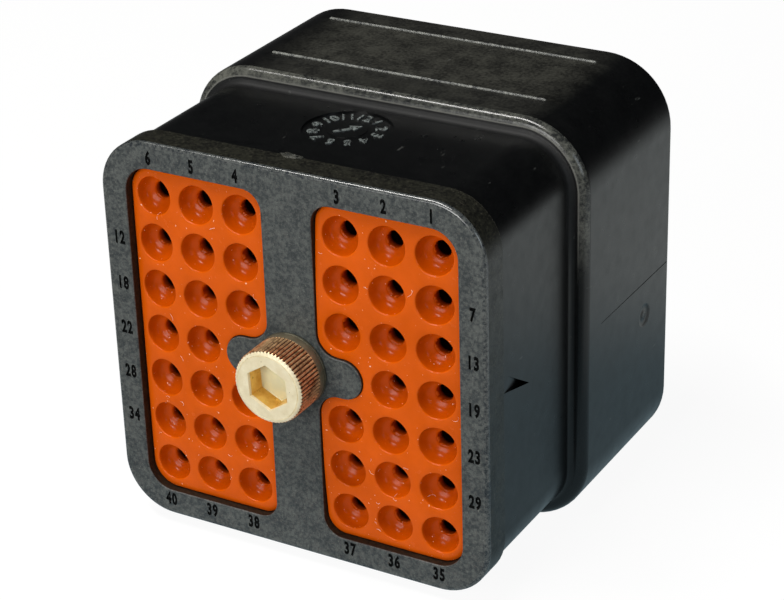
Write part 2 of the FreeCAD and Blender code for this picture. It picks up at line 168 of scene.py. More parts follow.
# The bowl round each wire bore, from the bore to the rim: radius and depth
BOWL = [(0.85, 1.72), (0.90, 1.62), (0.98, 1.55), (1.12, 1.49), (1.31, 1.40), (1.50, 1.26), (1.66, 1.06),
        (1.77, 0.82), (1.84, 0.55), (1.875, 0.30), (1.90, 0.12), (1.94, 0.03), (2.02, 0.0)]
BOWL_STEPS = 40
BOWL_EDGE = 1.89

# A wire bore's sealing ribs behind the bowl: radius and depth
THROAT = [(0.83, 1.80), (0.83, 2.4), (0.62, 2.8), (0.56, 3.1), (0.62, 3.4), (0.80, 3.9), (0.80, 4.5),
          (0.60, 4.9), (0.60, 5.4), (0.80, 5.9), (0.80, GROMMET_END)]

# The mouths in the mating face: a pin hole's radius, and how much wider than the well its mouth is
PIN_MOUTH = [(1.09, 0.0), (1.06, 0.02), (0.97, 0.12), (0.95, 0.18)]
WELL_MOUTH = [(0.3, 0.0), (0.2, 0.05), (0.03, 0.22), (0.0, 0.3)]

CORNER_STEPS = 14


def place(x, y, z):
    """A point given in millimetres about the jackscrew, in the frame."""
    return ORIGIN + Vector((x, y, z)) * MM


def linear(red, green, blue):
    """A colour given as 0 to 255 screen values, as the linear numbers that a shader takes."""
    steps = []
    for value in (red, green, blue):
        value = value / 255
        steps.append(value / 12.92 if value < 0.04045 else ((value + 0.055) / 1.055) ** 2.4)
    return steps


# Outlines, as lists of (x, z)

def arc(centre_x, centre_z, radius, start, end, steps=CORNER_STEPS):
    """Points of an arc, with its angles in degrees."""
    points = []
    for step in range(steps + 1):
        turn = math.radians(start + (end - start) * step / steps)
        points.append((centre_x + radius * math.cos(turn), centre_z + radius * math.sin(turn)))
    return points


def rounded(shape, inset=0.0, steps=CORNER_STEPS):
    """A rounded rectangle drawn in from the given one by the inset."""
    half_x, half_z, corner = shape
    corner = max(corner - inset, 0.05)
    across = half_x - inset - corner
    up = half_z - inset - corner
    return (arc(across, up, corner, 0, 90, steps) + arc(-across, up, corner, 90, 180, steps)
            + arc(-across, -up, corner, 180, 270, steps) + arc(across, -up, corner, 270, 360, steps))


def circle(x, z, radius, steps):
    """A full circle, without its repeated last point."""
    return arc(x, z, radius, 0, 360, steps)[:-1]


def window(side, inset=0.0):
    """A window's outline: a rounded rectangle with the retainer's bar standing in from the middle."""
    near = INNER_COLUMN - WINDOW_ROOM + inset
    far = OUTER_COLUMN + WINDOW_ROOM - inset
    top = OUTER_ROW + WINDOW_TOP_ROOM - inset
    outer = WINDOW_OUTER_CORNER - inset
    inner = WINDOW_INNER_CORNER - inset
    root = BAR_ROOT_RADIUS - inset
    bar = BAR_HALF_HEIGHT + inset
    points = arc(near + inner, inner - top, inner, 180, 270)
    points += arc(far - outer, outer - top, outer, 270, 360)
    points += arc(far - outer, top - outer, outer, 0, 90)
    points += arc(near + inner, top - inner, inner, 90, 180)
    points += arc(near + root, bar + root, root, 180, 270)
    points += arc(INNER_COLUMN, 0.0, bar, 90, -90)
    points += arc(near + root, -bar - root, root, 90, 180)
    return [(side * x, z) for x, z in points]


def cavity_centres():
    """The forty places in the grid. The two beside the jackscrew are left out."""
    centres = []
    for row in range(-ROWS_ABOVE_CENTRE, ROWS_ABOVE_CENTRE + 1):
        for column in range(COLUMNS_PER_SIDE):
            if row == 0 and column == 0:
                continue
            for side in (-1, 1):
                centres.append((side * (INNER_COLUMN + column * PITCH), row * PITCH))
    return centres


# Mesh making

def add_ring(mesh, points, y):
    """Vertices for an outline at one depth. The depth may be a list, one for each point."""
    depths = y if isinstance(y, list) else [y] * len(points)
    return [mesh.verts.new(place(x, depth, z)) for (x, z), depth in zip(points, depths)]


def turned(mesh, profile, steps, x=0, z=0):
    """Rings round an axis along Y, from (radius, y) pairs."""
    return [add_ring(mesh, circle(x, z, radius, steps), y) for radius, y in profile]


def framed(mesh, sections):
    """Rings of rounded rectangles, from (shape, inset, y)."""
    return [add_ring(mesh, rounded(shape, inset), y) for shape, inset, y in sections]


def bridge(mesh, first, second, slot=0):
    """Quads between two rings of as many vertices. The slot may be a function of the place in the ring."""
    count = len(first)
    for index in range(count):
        after = (index + 1) % count
        face = mesh.faces.new((first[index], first[after], second[after], second[index]))
        face.material_index = slot(index) if callable(slot) else slot


def loft(mesh, rings, slot=0, closed=False):
    """Quads along a list of rings, and from the last back to the first if it is closed."""
    for first, second in zip(rings, rings[1:]):
        bridge(mesh, first, second, slot)
    if closed:
        bridge(mesh, rings[-1], rings[0], slot)


def closed_loft(mesh, rings, slot=0):
    """A loft along a list of rings, with a face over each end."""
    loft(mesh, rings, slot)
    for ring in (rings[0], rings[-1]):
        mesh.faces.new(ring).material_index = slot


def link(thing):
    bpy.context.scene.collection.objects.link(thing)


def finish_mesh(mesh, name, materials, sharp_degrees=35.0):
    """Turn a bmesh into an object, with smooth faces and sharp edges past an angle."""
    bmesh.ops.recalc_face_normals(mesh, faces=mesh.faces)
    data = bpy.data.meshes.new(name)
    mesh.to_mesh(data)
    mesh.free()
    for material in materials:
        data.materials.append(material)
    piece = bpy.data.objects.new(name, data)
    link(piece)
    smooth(piece, sharp_degrees)
    return piece


def smooth(piece, sharp_degrees=35.0):
    piece.data.shade_smooth()
    piece.data.set_sharp_from_angle(angle=math.radians(sharp_degrees))


def bake(piece):
    """Give the piece the mesh that its modifiers make."""
    shown = piece.evaluated_get(bpy.context.evaluated_depsgraph_get())
    data = bpy.data.meshes.new_from_object(shown)
    piece.modifiers.clear()
    piece.data = data


def combine(piece, tool, operation):
    """Cut the tool out of the piece, or join it on, and drop the tool."""
    step = piece.modifiers.new("combine", "BOOLEAN")
    step.operation = operation
    step.solver = "EXACT"
    step.material_mode = "TRANSFER"
    step.object = tool
    bake(piece)
    bpy.data.objects.remove(tool)


def attach(piece, mark):
    """Add a small closed solid that stands in the piece's face, and drop its own object."""
    material = mark.data.materials[0]
    if material.name not in piece.data.materials:
        piece.data.materials.append(material)
    mesh = bmesh.new()
    mesh.from_mesh(piece.data)
    count = len(mesh.faces)
    mesh.from_mesh(mark.data)
    mesh.faces.ensure_lookup_table()
    for face in mesh.faces[count:]:
        face.material_index = piece.data.materials.find(material.name)
    mesh.to_mesh(piece.data)
    mesh.free()
    bpy.data.objects.remove(mark)


def flatten_normals(piece):
    """Let large flat faces keep their own direction where they meet a rounded edge."""
    step = piece.modifiers.new("normals", "WEIGHTED_NORMAL")
    step.keep_sharp = True
    step.weight = 100


def solid(name, rings, material):
    """A closed solid through rings of points, given in millimetres."""
    mesh = bmesh.new()
    closed_loft(mesh, [[mesh.verts.new(place(*point)) for point in ring] for ring in rings])
    return finish_mesh(mesh, name, [material])


def prism(name, points, start, end, material):
    """A closed prism along Y."""
    return solid(name, [[(x, y, z) for x, z in points] for y in (start, end)], material)


def flat(vert):
    """A vertex's place in the plane across the plug, in millimetres."""
    local = (vert.co - ORIGIN) / MM
    return (local.x, local.z)


def fill(mesh, rings, keep, extra=(), depth=None, slot=lambda x, z: 0):
    """Triangles between rings of vertices, where keep(x, z) holds. Extra points lie at depth(x, z)."""
    corners = [vert for ring in rings for vert in ring]
    edges = []
    start = 0
    for ring in rings:
        edges += [(start + index, start + (index + 1) % len(ring)) for index in range(len(ring))]
        start += len(ring)
    points = [Vector(flat(vert)) for vert in corners] + [Vector(point) for point in extra]
    found = delaunay_2d_cdt(points, edges, [], 0, 1e-5)
    verts = []
    for point, sources in zip(found[0], found[3]):
        known = [corners[source] for source in sources if source < len(corners)]
        verts.append(known[0] if known else mesh.verts.new(place(point.x, depth(*point), point.y)))
    for triangle in found[2]:
        middle = sum((found[0][index] for index in triangle), Vector((0.0, 0.0))) / 3
        if keep(*middle):
            face = mesh.faces.new([verts[index] for index in triangle])
            face.material_index = slot(*middle)


def inside(x, z, ring):
    """Whether a point lies within a closed outline."""
    within = False
    last_x, last_z = ring[-1]
    for next_x, next_z in ring:
        if (next_z > z) != (last_z > z) and x < (last_x - next_x) * (z - next_z) / (last_z - next_z) + next_x:
            within = not within
        last_x, last_z = next_x, next_z
    return within


# Materials

def new_material(name):
    """A material, its shader and its node tree."""
    material = bpy.data.materials.new(name)
    material.use_nodes = True
    return material, material.node_tree.nodes["Principled BSDF"], material.node_tree


def feed(tree, socket, value):
    """Link a socket to another one, or set it to a number, a colour or a vector."""
    if isinstance(value, bpy.types.NodeSocket):
        tree.links.new(value, socket)
    elif socket.type == "RGBA":
        socket.default_value = (*value, 1.0)
    else:
        socket.default_value = value


def node(tree, kind, **settings):
    """A shader node. Each setting is a value, or the socket that feeds it."""
    made = tree.nodes.new("ShaderNode" + kind)
    for key, value in settings.items():
        if key in made.inputs:
            feed(tree, made.inputs[key], value)
        else:
            setattr(made, key, value)
    return made


def own_place(tree):
    """A point's place in the piece's own coordinates, which are in metres."""
    return node(tree, "TexCoord").outputs["Object"]


def noise_map(tree, scale, detail=4.0, roughness=0.55, stretch=(1.0, 1.0, 1.0)):
    """Noise over the piece's own coordinates."""
    mapping = node(tree, "Mapping", Vector=own_place(tree), Scale=stretch)
    texture = node(tree, "TexNoise", Vector=mapping.outputs["Vector"], Scale=scale, Detail=detail,
                   Roughness=roughness)
    return texture.outputs["Fac"]


def ramp(tree, source, stops):
    """A colour ramp. Each stop is a place and a colour or a grey."""
    made = node(tree, "ValToRGB", Fac=source)
    elements = made.color_ramp.elements
    while len(elements) < len(stops):
        elements.new(0.5)
    for element, (where, colour) in zip(elements, stops):
        element.position = where
        grey = isinstance(colour, (int, float))
        element.color = (colour, colour, colour, 1.0) if grey else (*colour, 1.0)
    return made.outputs["Color"]


def mix(tree, factor, first, second, blend="MIX"):
    """Mix two colours, each a socket or a linear colour."""
    made = node(tree, "Mix", data_type="RGBA", blend_type=blend)
    for index, value in ((0, factor), (6, first), (7, second)):
        feed(tree, made.inputs[index], value)
    return made.outputs[2]


def dress(tree, shader, colour, gloss, height, relief):
    """Give a shader its colour, its roughness and its relief, which is in millimetres."""
    relieved = node(tree, "Bump", Height=height, Strength=1.0, Distance=relief * MM)
    for key, value in (("Base Color", colour), ("Roughness", gloss), ("Normal", relieved.outputs["Normal"])):
        feed(tree, shader.inputs[key], value)


def within(tree, axis, low, high, soft):
    """A factor that is 1 between two places along an axis, given in millimetres, with soft ends."""
    parts = node(tree, "SeparateXYZ", Vector=own_place(tree))
    origin = ORIGIN["XYZ".index(axis)]
    ends = []
    for edge, way in ((low, 1), (high, -1)):
        step = node(tree, "MapRange", interpolation_type="SMOOTHSTEP", Value=parts.outputs[axis])
        feed(tree, step.inputs["From Min"], origin + (edge - way * soft / 2) * MM)
        feed(tree, step.inputs["From Max"], origin + (edge + way * soft / 2) * MM)
        ends.append(step.outputs["Result"])
    return times(tree, *ends)


def calculate(tree, operation, first, second):
    made = node(tree, "Math", operation=operation)
    for socket, value in zip(made.inputs, (first, second)):
        feed(tree, socket, value)
    return made.outputs[0]


def times(tree, first, second):
    return calculate(tree, "MULTIPLY", first, second)


def average(tree, first, second, share=0.5):
    """The weighted average of two values, with the share of the first."""
    return calculate(tree, "ADD", times(tree, first, share), times(tree, second, 1 - share))


def moulded(name, dark, pale, rough, speck=None, mottle=500.0, specular=0.5, grain=0.004):
    """Moulded plastic: coarse and fine mottling, uneven gloss, a fine grain and light flecks."""
    material, shader, tree = new_material(name)
    clouds = average(tree, noise_map(tree, mottle, 6.0, 0.65), noise_map(tree, 3300.0, 4.0, 0.7), 0.3)
    colour = ramp(tree, clouds, [(0.42, linear(*dark)), (0.58, linear(*pale))])
    if speck:
        flecks = ramp(tree, noise_map(tree, 4600.0, 4.0, 0.75), [(0.57, 0.0), (0.72, 0.6)])
        colour = mix(tree, flecks, colour, linear(*speck))
    gloss = ramp(tree, noise_map(tree, 900.0, 5.0), [(0.3, rough[0]), (0.7, rough[1])])
    shader.inputs["Specular IOR Level"].default_value = specular
    dress(tree, shader, colour, gloss, noise_map(tree, 3000.0, 5.0, 0.7), grain)
    return material


def shell_plastic():
    """Glossy black plastic. The skirt's top is rougher and paler, most of all between its two ridges."""
    material, shader, tree = new_material("shell_black_plastic")
    clouds = average(tree, noise_map(tree, 380.0, 6.0, 0.65), noise_map(tree, 3000.0, 4.0, 0.7))
    black = ramp(tree, clouds, [(0.4, (0.0016, 0.0018, 0.0021)), (0.62, (0.0048, 0.0052, 0.0054))])
    worn = ramp(tree, clouds, [(0.42, linear(26, 26, 22)), (0.6, linear(72, 72, 65))])
    painted_lip_sheen = ramp(tree, clouds, [(0.42, linear(36, 38, 38)), (0.6, linear(104, 105, 98))])
    marks = ramp(tree, noise_map(tree, 1500.0, 3.0, 0.5, (1.0, 0.25, 1.0)), [(0.72, 0.0), (0.78, 0.35)])

    middle = within(tree, "X", -13.5, 15.0, 7.0)
    top = times(tree, within(tree, "Z", SKIRT[1] - 0.25, SKIRT[1] + 2.0, 0.3), middle)
    band = within(tree, "Y", *RIDGES, 0.3)
    high = within(tree, "Z", 9.0, SKIRT[1] + 2.0, 8.0)
    lip = within(tree, "Y", STEP + 0.01, STEP + 0.8, 0.02)
    line = within(tree, "Y", STEP + 0.006, STEP + 0.024, 0.008)
    foot = within(tree, "Y", STEP - 0.9, STEP, 0.2)

    colour = mix(tree, times(tree, top, 0.55), black, worn)
    # Painted sheen from the front light: the step's lip is paler, fading down the sides.
    colour = mix(tree, times(tree, high, lip), colour, painted_lip_sheen)
    # Painted highlight: a thin pale line along the foot of the step's lip.
    colour = mix(tree, times(tree, times(tree, high, line), 0.6), colour, linear(124, 124, 118))
    colour = mix(tree, times(tree, times(tree, top, band), 0.7), colour, worn)
    colour = mix(tree, marks, colour, linear(110, 112, 108))
    gloss = ramp(tree, noise_map(tree, 700.0, 4.0), [(0.3, 0.27), (0.7, 0.35)])
    for factor, rough in ((times(tree, top, 0.6), 0.7), (lip, 0.2), (times(tree, high, foot), 0.62)):
        gloss = mix(tree, factor, gloss, (rough, rough, rough))
    dress(tree, shader, colour, gloss, noise_map(tree, 3000.0, 5.0, 0.7), 0.003)
    return material


def silicone(name, deep, pale, dusty):
    """Soft rubber: warm colour with faint clouds, white dust and a satin face. Painted shade darkens it down
    the bores.
    """
    material, shader, tree = new_material(name)
    colour = ramp(tree, noise_map(tree, 260.0, 5.0, 0.6), [(0.32, linear(*deep)), (0.7, linear(*pale))])
    dust = ramp(tree, noise_map(tree, 3400.0, 2.0, 0.4), [(0.735, 0.0), (0.77, 1.0)])
    colour = mix(tree, dust, colour, linear(*dusty))
    # Painted shade: the colour goes near black deeper down the bores.
    bore = within(tree, "Y", 2.05, GROMMET_END - 0.3, 0.8)
    colour = mix(tree, bore, colour, (0.006, 0.0006, 0.0))
    gloss = ramp(tree, noise_map(tree, 700.0, 4.0), [(0.3, 0.18), (0.7, 0.28)])
    shader.inputs["Specular IOR Level"].default_value = 0.19
    dress(tree, shader, colour, gloss, noise_map(tree, 1500.0, 4.0), 0.009)
    return material


def metal(name, dark, pale, rough, scale=900.0, pits=None, stretch=(1.0, 1.0, 1.0), grain=0.006,
          metallic=1.0):
    """Bare or passivated metal with a worn colour."""
    material, shader, tree = new_material(name)
    shader.inputs["Metallic"].default_value = metallic
    clouds = noise_map(tree, scale, 6.0, 0.6, stretch)
    colour = ramp(tree, clouds, [(0.3, linear(*dark)), (0.7, linear(*pale))])
    if pits:
        marks = ramp(tree, noise_map(tree, 1900.0, 2.0), [(0.70, 0.0), (0.735, 1.0)])
        colour = mix(tree, marks, colour, linear(*pits))
    gloss = ramp(tree, noise_map(tree, 1500.0, 4.0, 0.55, stretch), [(0.3, rough[0]), (0.7, rough[1])])
    dress(tree, shader, colour, gloss, noise_map(tree, 3000.0, 4.0, 0.6, stretch), grain)
    return material


SHELL = shell_plastic()
CHARCOAL = moulded("retainer_charcoal_plastic", (52, 57, 59), (88, 92, 90), (0.38, 0.52),
                   speck=(148, 150, 140), mottle=420.0, specular=0.4)
# A darker copy of the charcoal for the plate's sides: painted shade.
CHARCOAL_SHADED_SIDE = moulded("retainer_side_painted_shade", (18, 18, 16), (46, 46, 38), (0.3, 0.45),
                        speck=(110, 106, 92), mottle=420.0, specular=0.4)
CHARCOAL_EDGE = moulded("retainer_polished_edge", (40, 45, 49), (92, 95, 93), (0.14, 0.24),
                        mottle=420.0, specular=0.9)
# Dark brown for the windows' walls: painted shade with a painted orange bounce.
WINDOW_WALL_SHADE = moulded("retainer_window_wall_painted_shade", (30, 22, 14), (50, 38, 26), (0.5, 0.65), specular=0.2)
# Near black for the engraved numbers, left on the cut faces: painted shade in the recesses.
RECESS_SHADE = moulded("retainer_number_recess_painted_shade", (7, 9, 9), (18, 20, 20), (0.6, 0.75), specular=0.1)
# A pale material for the ridges: a painted highlight along them.
RIDGE_HIGHLIGHT = moulded("shell_ridge_painted_highlight", (58, 60, 60), (136, 138, 132), (0.3, 0.45))
# A paler copy of the charcoal for the chamfer at the seam: a painted highlight line.
SEAM_HIGHLIGHT = moulded("retainer_seam_painted_highlight", (62, 60, 52), (122, 119, 104), (0.4, 0.55))
SCAR = moulded("retainer_gate_scar", (34, 36, 34), (84, 84, 76), (0.5, 0.65), specular=0.3)
# The figures' pale patches are painted glints.
FIGURE_GLINTS = moulded("shell_figures_painted_glints", (8, 10, 11), (150, 158, 156), (0.1, 0.25), mottle=2200.0,
                  specular=1.0, grain=0.05)
INSERT_PLASTIC = moulded("insert_black_plastic", (21.96, 22.33, 22.88), (36.42, 36.42, 36.42), (0.48, 0.62))
ORANGE = silicone("orange_silicone", (206, 84, 0), (220, 92, 10), (244, 206, 176))
# A darker copy of the rubber for the bowls and the bores' throats: painted shade.
BOWL_SHADE_ORANGE = silicone("orange_silicone_bowls_painted_shade", (190, 74, 0), (208, 85, 2), (244, 206, 176))
SEAL_ORANGE = moulded("seal_silicone", (196, 76, 4), (216, 90, 14), (0.35, 0.45), specular=0.3)
LINT = moulded("white_lint", (214, 196, 182), (246, 236, 226), (0.8, 0.9), specular=0.2)
FACE_METAL = metal("screw_face_passivated", (232, 218, 178), (252, 242, 210), (0.4, 0.55),
                   pits=(150, 128, 88), grain=0.004, metallic=0.2)
HEX_METAL = metal("screw_socket_amber", (216, 158, 58), (250, 208, 112), (0.25, 0.42), grain=0.008,
                  metallic=0.45)
# The socket's floor is pale and not metal: painted light at the shaded bottom of the socket.
HEX_FLOOR_PAINTED_LIGHT = metal("screw_socket_floor_painted_light", (226, 228, 196), (255, 250, 200), (0.35, 0.5), scale=380.0,
                  metallic=0.0)
KNURL_METAL = metal("screw_knurl_copper", (132, 98, 64), (236, 202, 152), (0.22, 0.4), scale=1500.0,
                    grain=0.012, metallic=0.5)
# A darker copy of the knurl's metal for its valleys: painted shade.
VALLEY_SHADE_METAL = metal("screw_knurl_valley_painted_shade", (58, 32, 22), (112, 68, 48), (0.45, 0.6), scale=1500.0,
                     metallic=0.3)
COLLAR_METAL = metal("screw_collar_olive", (104, 97, 78), (136, 126, 102), (0.4, 0.55), metallic=0.4)
SHANK_METAL = metal("screw_shank_brass", (176, 142, 76), (222, 190, 118), (0.28, 0.42))
STEEL = metal("clip_spring_steel", (138, 138, 134), (186, 186, 180), (0.26, 0.4),
              stretch=(1.0, 0.3, 1.0))
WASHER_STEEL = metal("washer_dull_steel", (78, 76, 64), (112, 108, 90), (0.4, 0.55), metallic=0.6)
RING_RUBBER = moulded("ring_black_rubber", (17.89, 17.89, 17.89), (31.4, 31.4, 31.4), (0.55, 0.7))


# Camera, floor, light and background

CAMERA_PLACE = (106.640, -164.053, 102.883)
CAMERA_TURNS = (63.7408, 1.5775, 29.5709)
CAMERA_LENS = 108.34
LIT_MIDDLE = (0, 12, 0)


def soft_box(name, spot, width, height, watts, colour):
    """A rectangular lamp, with its place in millimetres, turned to the plug's middle."""
    data = bpy.data.lights.new(name, "AREA")
    data.shape = "RECTANGLE"
    data.size = width * MM
    data.size_y = height * MM
    data.energy = watts
    data.color = colour
    lamp = bpy.data.objects.new(name, data)
    link(lamp)
    lamp.location = place(*spot)
    lamp.rotation_euler = (place(*LIT_MIDDLE) - lamp.location).to_track_quat("-Z", "Y").to_euler()


def white_for(tree, background, lit, *rays):
    """Mix towards the background for the named kinds of ray."""
    path = node(tree, "LightPath")
    factor = path.outputs[rays[0]]
    for ray in rays[1:]:
        factor = calculate(tree, "MAXIMUM", factor, path.outputs[ray])
    blend = node(tree, "MixShader")
    for socket, value in zip(blend.inputs, (factor, lit, background)):
        feed(tree, socket, value)
    return blend.outputs[0]


def pale_table():
    """The table: near white for the camera, and for gloss a glow with a painted shadow, dim close round the
    plug and in front of it, brighter further out and fading far away.
    """
    material, shader, tree = new_material("pale_table")
    feed(tree, shader.inputs["Base Color"], ramp(tree, noise_map(tree, 40.0, 3.0), [(0.3, 0.86), (0.7, 0.9)]))
    shader.inputs["Roughness"].default_value = 0.8
    glow = node(tree, "Emission", Strength=1.06)
    part = node(tree, "MixShader", Fac=0.88)
    feed(tree, part.inputs[1], shader.outputs[0])
    feed(tree, part.inputs[2], glow.outputs[0])

    # Painted shadow in the glow seen in reflections: dim close round the plug, and dimmer in front of it.
    away = node(tree, "VectorMath", operation="LENGTH", Vector=own_place(tree))
    near, far, edge = (0.24, 0.33, 0.37), (0.59, 0.63, 0.625), (0.08, 0.08, 0.08)
    glow_with_painted_shadow = ramp(tree, away.outputs["Value"], [(0.048, near), (0.068, far), (0.12, far), (0.28, edge)])
    beside = node(tree, "SeparateXYZ", Vector=own_place(tree))
    front = ramp(tree, times(tree, beside.outputs["Y"], -10.0), [(0.15, 1.0), (0.4, 0.35)])
    mirrored = node(tree, "Emission", Strength=1.0, Color=mix(tree, 1.0, glow_with_painted_shadow, front, "MULTIPLY"))
    lit = white_for(tree, mirrored.outputs[0], shader.outputs[0], "Is Glossy Ray")
    shown = white_for(tree, part.outputs[0], lit, "Is Camera Ray", "Is Transmission Ray")
    feed(tree, tree.nodes["Material Output"].inputs["Surface"], shown)
    return material


def build_room():
    scene = bpy.context.scene
    scene.view_settings.view_transform = "Standard"
    camera = bpy.data.objects.new("camera", bpy.data.cameras.new("camera"))
    link(camera)
    camera.location = place(*CAMERA_PLACE)
    camera.rotation_euler = Euler([math.radians(turn) for turn in CAMERA_TURNS])
    camera.data.lens = CAMERA_LENS
    camera.data.clip_start = 0.01
    scene.camera = camera

    scene.world = bpy.data.worlds.new("studio")
    scene.world.use_nodes = True
    tree = scene.world.node_tree
    room = tree.nodes["Background"]
    feed(tree, room.inputs["Color"], (0.92, 0.96, 1.0))
    feed(tree, room.inputs["Strength"], 0.02)
    white = node(tree, "Background", Color=(1.0, 1.0, 1.0), Strength=1.0)
    shown = white_for(tree, white.outputs[0], room.outputs[0], "Is Camera Ray", "Is Transmission Ray")
    feed(tree, tree.nodes["World Output"].inputs["Surface"], shown)

    mesh = bmesh.new()
    bmesh.ops.create_grid(mesh, x_segments=1, y_segments=1, size=1.2)
    floor = finish_mesh(mesh, "floor", [])
    floor.data.materials.append(pale_table())

    soft_box("key_soft_box", (-110, -150, 460), 360, 50, 1.8, (1.0, 0.98, 0.95))
    soft_box("front_soft_box", (-60, -430, 150), 260, 200, 0.95, (1.0, 0.99, 0.97))
    soft_box("fill_soft_box", (420, -120, 150), 200, 200, 0.3, (0.82, 0.92, 1.0))


# Pieces

def grown(offset):
    """The outline that lies outside the body's by an offset, up to the skirt's."""
    share = offset / (SKIRT[0] - BODY[0])
    return tuple(low + (high - low) * share for low, high in zip(BODY, SKIRT))


def build_shell():
    """The moulding: body, step, skirt, inner walls and shoulder, in one closed loft along Y."""
    rise = SKIRT[0] - BODY[0]
    foot, lip, end = SHELL_ROUNDING
    quarter = [math.radians(90 * step / 8) for step in range(9)]
    outer = [(SEAM, -0.16), (SEAM + 0.03, -0.05), (SEAM + 0.12, 0.0)]
    outer += [(STEP - foot + foot * math.sin(turn), foot - foot * math.cos(turn)) for turn in quarter]
    outer += [(STEP + lip - lip * math.cos(turn), rise - lip + lip * math.sin(turn)) for turn in quarter]
    outer += [(SHELL_END - end + end * math.sin(turn), rise - end + end * math.cos(turn)) for turn in quarter]
    mesh = bmesh.new()
    rings = [add_ring(mesh, rounded(grown(offset)), y) for y, offset in outer]
    inner = [(SKIRT_CAVITY, -0.18, SHELL_END), (SKIRT_CAVITY, -0.05, SHELL_END - 0.05),
             (SKIRT_CAVITY, 0.0, SHELL_END - 0.2), (SKIRT_CAVITY, 0.0, SHOULDER_END),
             (NOSE, -0.1, SHOULDER_END), (NOSE, -0.1, FLANGE_END), (CAVITY, 0.0, FLANGE_END),
             (CAVITY, 0.0, SEAM)]
    rings += framed(mesh, inner)
    loft(mesh, rings, closed=True)
    shell = finish_mesh(mesh, "shell", [SHELL])

    reach = (KEY_DEPTH + KEY_SINK) / 2
    beside = SKIRT_CAVITY[0] - KEY_DEPTH + reach
    above = SKIRT_CAVITY[1] - KEY_DEPTH + reach
    for x, z, half_x, half_z in ((0, above, TOP_KEY_HALF_WIDTH, reach),
                                 (beside, SIDE_KEY_UP, reach, KEY_HALF_WIDTH),
                                 (-LOW_KEY_ACROSS, -above, KEY_HALF_WIDTH, reach),
                                 (LOW_KEY_ACROSS, -above, KEY_HALF_WIDTH, reach)):
        outline = [(x + px, z + pz) for px, pz in rounded((half_x, half_z, 0.25), steps=4)]
        combine(shell, prism("key", outline, *KEY_SPAN, SHELL), "UNION")

    combine(shell, upright_disc("stamp", STAMP_FLOOR, STAMP_RADIUS, 2.0), "DIFFERENCE")
    combine(shell, dimple_cutter(), "DIFFERENCE")
    combine(shell, notch_cutter(), "DIFFERENCE")
    for side in (-1, 1):
        combine(shell, parting_line(side), "DIFFERENCE")
    attach(shell, upright_disc("dial", STAMP_FLOOR - 0.3, DIAL_RADIUS, 0.36))
    attach(shell, dial_figures())
    for y in RIDGES:
        attach(shell, ridge(y))
    smooth(shell)
    flatten_normals(shell)
    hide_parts("plug_shell")
    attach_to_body(shell, "housing")


def ridge(y):
    """A fine raised line across the skirt's top, half sunk and tapered at its ends."""
    rings = []
    for share, scale in ((-1.0, 0.1), (-0.995, 0.7), (-0.985, 1.0), (0.985, 1.0), (0.995, 0.7), (1.0, 0.1)):
        rings.append([(share * RIDGE_HALF_LENGTH, y + scale * py, SKIRT[1] + scale * pz)
                      for py, pz in circle(0, 0, RIDGE_RADIUS, 12)])
    # The ridge's pale material is a painted highlight.
    return solid("ridge", rings, RIDGE_HIGHLIGHT)


def parting_line(side):
    """A cutter for the mould's parting line, a fine groove that fades out towards the step."""
    rings = []
    for y, scale in ((STEP + 3.5, 0.3), (STEP + 8.0, 0.7), (STEP + 12.0, 1.0), (SHELL_END - 0.8, 1.0)):
        wall = side * (SKIRT[0] + 0.05 - 0.045 * scale)
        rings.append([(wall + px, y, pz) for px, pz in circle(0, 0, PARTING_RADIUS, 8)])
    return solid("parting_line", rings, SHELL)


def characters(label, size, offset, resolution, extrude=0.0, spacing=1.0):
    """The mesh of a label's filled characters, in the unit that the sizes have."""
    curve = bpy.data.curves.new("characters", "FONT")
    curve.body = label
    curve.size = size
    curve.offset = offset
    curve.extrude = extrude
    curve.space_character = spacing
    curve.align_x = "CENTER"
    curve.align_y = "CENTER"
    curve.resolution_u = resolution
    drawn = bpy.data.objects.new("characters", curve)
    link(drawn)
    bpy.context.view_layer.update()
    data = bpy.data.meshes.new_from_object(drawn.evaluated_get(bpy.context.evaluated_depsgraph_get()))
    bpy.data.objects.remove(drawn)
    return data


def dial_figures():
    """The date dial's raised figures: months round the ring, and an arrow on the middle disc."""
    mesh = bmesh.new()
    x, y = STAMP
    for month in range(1, 13):
        turn = math.radians(90 - 30 * month)
        spot = place(x + MONTH_RING * math.cos(turn), y + MONTH_RING * math.sin(turn), STAMP_FLOOR + 0.02)
        data = characters(str(month), MONTH_SIZE * MM, 0.02 * MM, 4, 0.09 * MM)
        data.transform(Matrix.Translation(spot) @ Matrix.Rotation(turn - math.pi / 2, 4, "Z"))
        mesh.from_mesh(data)
    bmesh.ops.remove_doubles(mesh, verts=mesh.verts, dist=1e-7)
    aside, ahead = ARROW_WAY
    for outline in (ARROW_SHAFT, ARROW_HEAD):
        turned = [(x + px * ahead + py * aside, y + py * ahead - px * aside) for px, py in outline]
        closed_loft(mesh, [[mesh.verts.new(place(px, py, level)) for px, py in turned]
                           for level in (STAMP_FLOOR - 0.1, STAMP_FLOOR + 0.16)])
    # The figures' pale patches are painted glints.
    return finish_mesh(mesh, "figures", [FIGURE_GLINTS])


def upright_disc(name, z, radius, height):
    """A disc that stands upright on a height, about the stamp's middle."""
    outline = circle(*STAMP, radius, 64)
    return solid(name, [[(x, y, level) for x, y in outline] for level in (z, z + height)], SHELL)


def dimple_cutter():
    """The gate's dimple: a shallow dish that leaves a low nub in its middle."""
    profile = [(1.3, -0.5), (1.3, 0.0), (1.12, 0.1), (0.85, 0.15), (0.5, 0.15), (0.4, 0.1), (0.2, 0.08)]
    rings = [[(SKIRT[0] - depth, y, z) for y, z in circle(*DIMPLE, radius, 40)] for radius, depth in profile]
    return solid("dimple", rings, SHELL)


